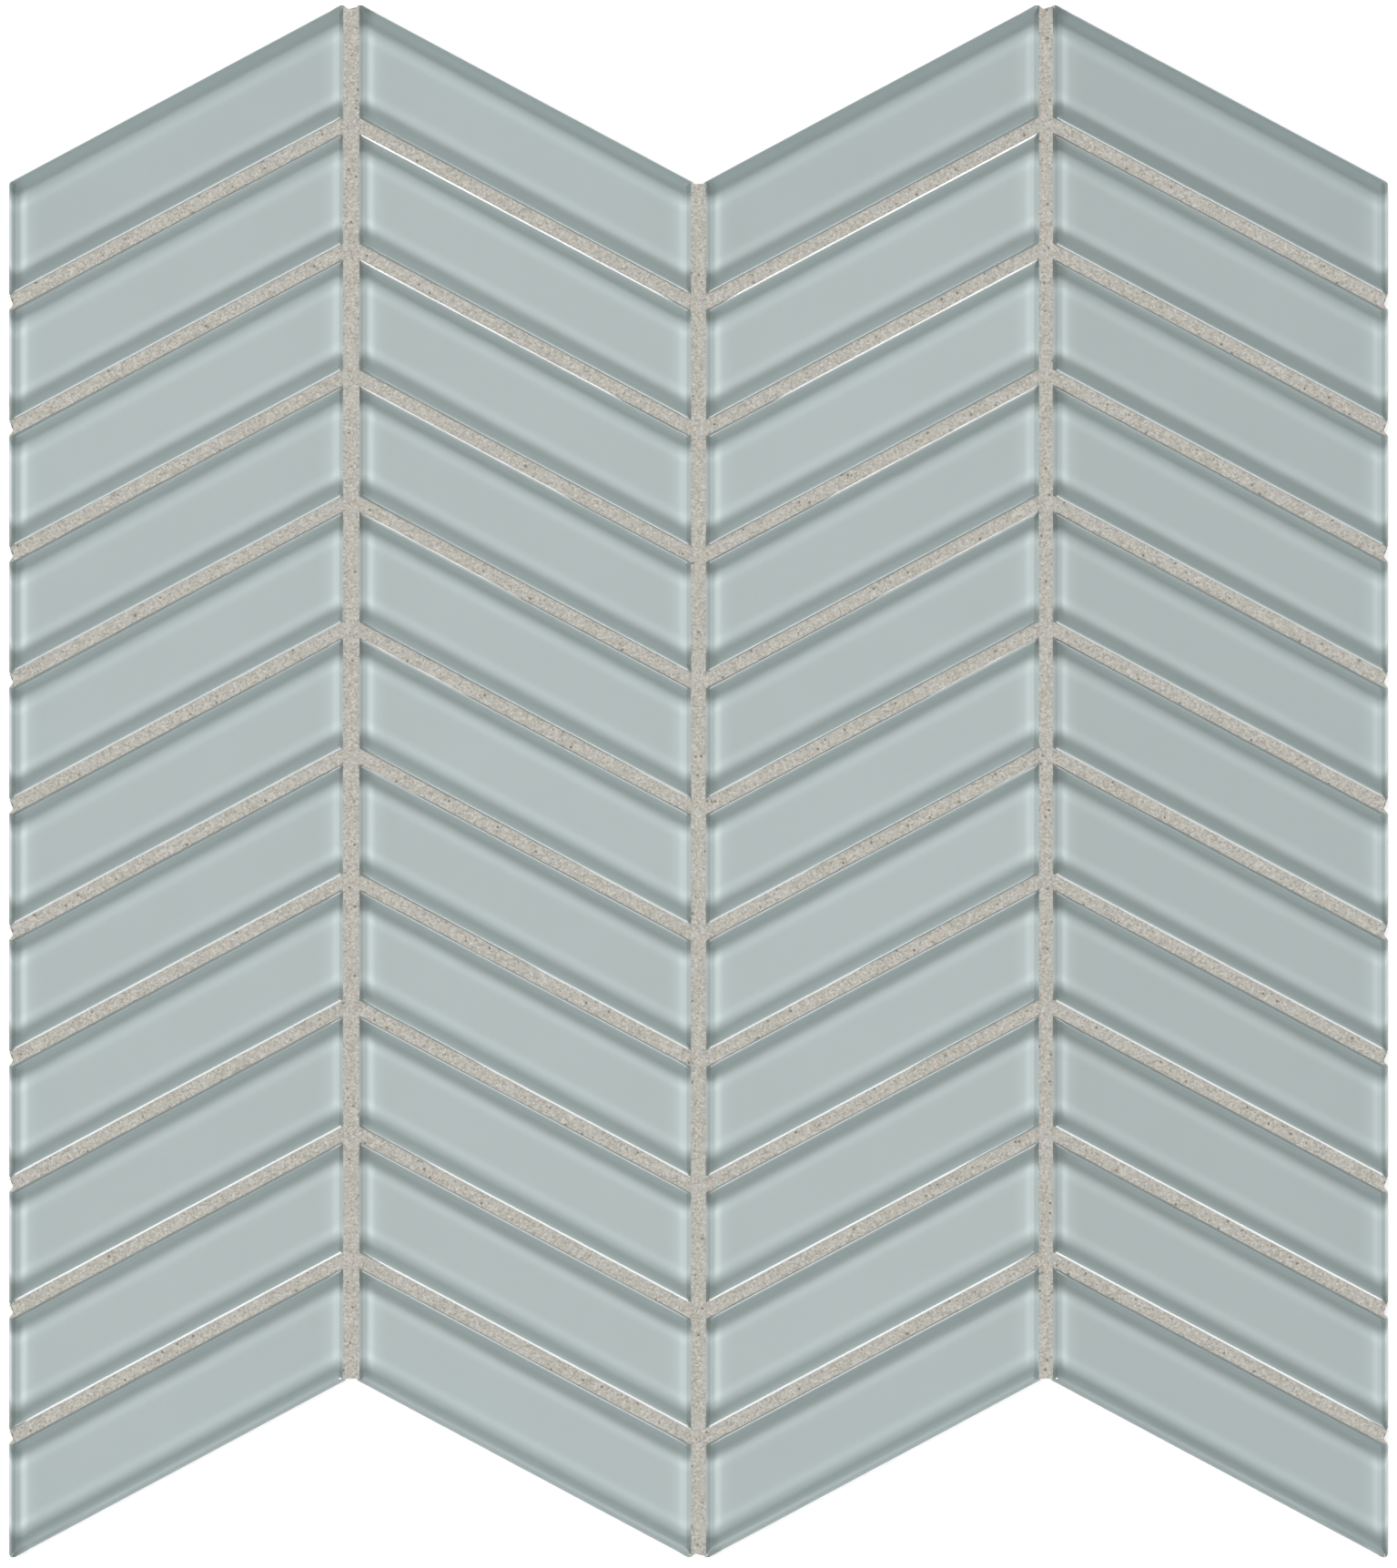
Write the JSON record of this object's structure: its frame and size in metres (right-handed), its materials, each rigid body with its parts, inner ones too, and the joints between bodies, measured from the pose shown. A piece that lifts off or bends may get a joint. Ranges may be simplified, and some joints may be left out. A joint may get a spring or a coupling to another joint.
{
  "type": "chevron glass mosaic tile sheet",
  "caption": "Wall mosaic sheet of slanted back-painted glass tiles in a chevron pattern, with sanded grout joints and a mesh back, and zigzag ends that interlock with the next sheet",
  "frame": {"origin": "under the middle of the sheet, on the back of the mesh", "axes": "+X across the columns to the right, +Y up the chevrons, +Z out of the glass face"},
  "size_m": [0.3028, 0.341, 0.0084],
  "materials": {
    "tile_glass": "clear greenish glass, glossy, painted grey on the back, so it looks opaque",
    "grout": "matt beige sanded cement grout",
    "mesh": "white open-weave glass-fibre mesh"
  },
  "bodies": {
    "root": {"tile_col1_row01": "tile_glass", "tile_col1_row02": "tile_glass", "tile_col1_row03": "tile_glass", "tile_col1_row04": "tile_glass", "tile_col1_row05": "tile_glass", "tile_col1_row06": "tile_glass", "tile_col1_row07": "tile_glass", "tile_col1_row08": "tile_glass", "tile_col1_row09": "tile_glass", "tile_col1_row10": "tile_glass", "tile_col1_row11": "tile_glass", "tile_col2_row01": "tile_glass", "tile_col2_row02": "tile_glass", "tile_col2_row03": "tile_glass", "tile_col2_row04": "tile_glass", "tile_col2_row05": "tile_glass", "tile_col2_row06": "tile_glass", "tile_col2_row07": "tile_glass", "tile_col2_row08": "tile_glass", "tile_col2_row09": "tile_glass", "tile_col2_row10": "tile_glass", "tile_col2_row11": "tile_glass", "tile_col3_row01": "tile_glass", "tile_col3_row02": "tile_glass", "tile_col3_row03": "tile_glass", "tile_col3_row04": "tile_glass", "tile_col3_row05": "tile_glass", "tile_col3_row06": "tile_glass", "tile_col3_row07": "tile_glass", "tile_col3_row08": "tile_glass", "tile_col3_row09": "tile_glass", "tile_col3_row10": "tile_glass", "tile_col3_row11": "tile_glass", "tile_col4_row01": "tile_glass", "tile_col4_row02": "tile_glass", "tile_col4_row03": "tile_glass", "tile_col4_row04": "tile_glass", "tile_col4_row05": "tile_glass", "tile_col4_row06": "tile_glass", "tile_col4_row07": "tile_glass", "tile_col4_row08": "tile_glass", "tile_col4_row09": "tile_glass", "tile_col4_row10": "tile_glass", "tile_col4_row11": "tile_glass", "grout": "grout", "backing_mesh": "mesh"}
  },
  "joints": []
}
